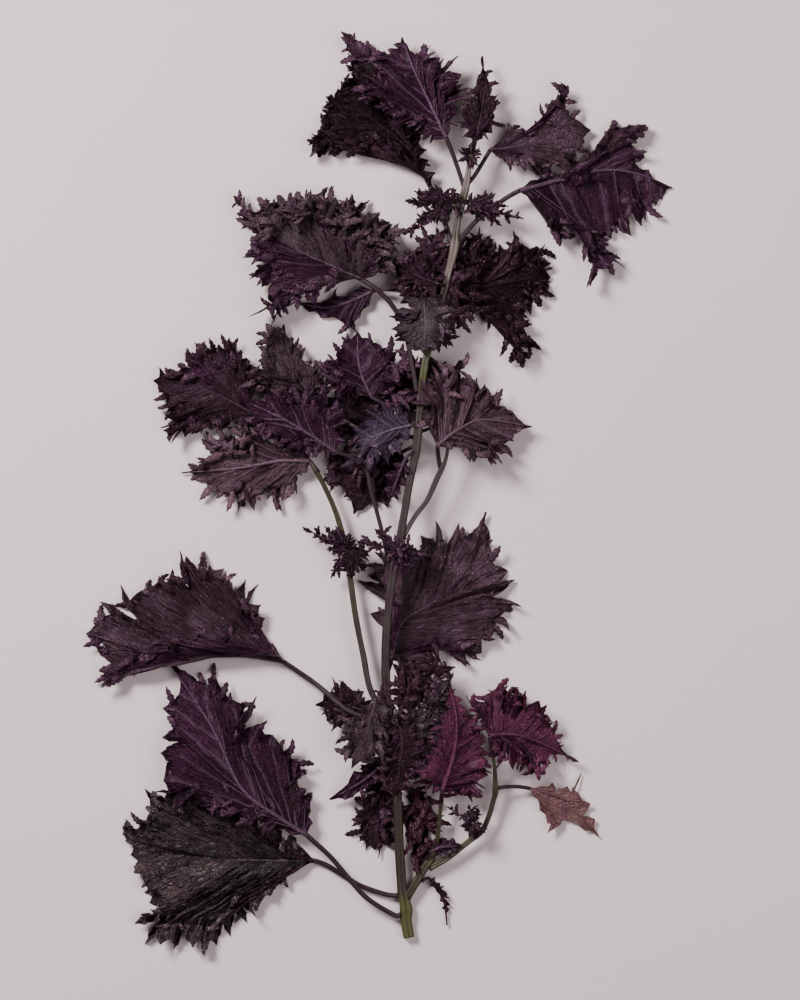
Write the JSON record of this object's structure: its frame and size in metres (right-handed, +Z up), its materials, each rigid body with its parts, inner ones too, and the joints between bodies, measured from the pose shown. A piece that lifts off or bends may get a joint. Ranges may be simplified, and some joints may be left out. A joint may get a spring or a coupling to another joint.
{
  "type": "cut red shiso sprig",
  "caption": "Cut sprig of red shiso with frilled purple-black leaves, lying flat on a surface.",
  "frame": {"origin": "centre of the sprig's outline seen from above, on the surface that it lies on", "axes": "+Y along the stem from the cut end to the tip, +X to the right seen from above, +Z up from the surface"},
  "size_m": [0.2925, 0.4567, 0.0261],
  "materials": {
    "leaf_upper": "satin, finely wrinkled",
    "leaf_under": "matte with pale veins",
    "leaf_aged": "matte, dry edges",
    "stem": "satin, grooved",
    "side_stem": "satin"
  },
  "bodies": {
    "root": {"main_stem": "stem", "side_stem_left": "side_stem", "side_stem_right": "side_stem", "side_stem_lower": "side_stem", "side_stem_lower_right": "side_stem", "leaf_behind_stem_low": "leaf_upper", "leaf_dark_red_low": "leaf_under", "leaf_right_of_stem": "leaf_upper", "leaf_lower_left_large": "leaf_upper", "leaf_funnel_top": "leaf_upper", "leaf_small_below_curly": "leaf_under", "leaf_behind_stem_top": "leaf_upper", "leaf_upper_right_dark": "leaf_upper", "leaf_dark_centre": "leaf_upper", "leaf_hollow_dark": "leaf_upper", "leaf_dark_frilly": "leaf_upper", "leaf_middle_left_low": "leaf_upper", "leaf_middle_left_frilly": "leaf_upper", "leaf_middle_left_grey": "leaf_upper", "leaf_middle_left_veined": "leaf_under", "leaf_middle_fan": "leaf_under", "leaf_middle_blue": "leaf_under", "leaf_centre_narrow": "leaf_under", "leaf_middle_right": "leaf_under", "leaf_top_right_curled": "leaf_upper", "leaf_top_right_long": "leaf_under", "leaf_top_fan": "leaf_under", "leaf_top_upright": "leaf_upper", "leaf_upper_left_curly": "leaf_upper", "leaf_upper_front": "leaf_upper", "leaf_upper_collar": "leaf_upper", "leaf_lower_left_purple": "leaf_under", "leaf_low_frilly": "leaf_upper", "leaf_middle_left_folded": "leaf_upper", "leaf_low_spear": "leaf_under", "leaf_low_brown": "leaf_upper", "leaf_low_glossy": "leaf_upper", "leaf_low_dark": "leaf_upper", "leaf_low_grey": "leaf_upper", "leaf_mauve": "leaf_under", "leaf_mauve_frilly": "leaf_under", "leaf_aged": "leaf_aged", "leaf_fork_toothed": "leaf_under", "leaf_fork_spear": "leaf_upper", "tuft_top_left": "leaf_upper", "tuft_top_right": "leaf_upper", "tuft_left": "leaf_upper", "tuft_centre": "leaf_under", "bud_cluster": "leaf_upper", "bud_top": "leaf_upper"}
  },
  "joints": []
}
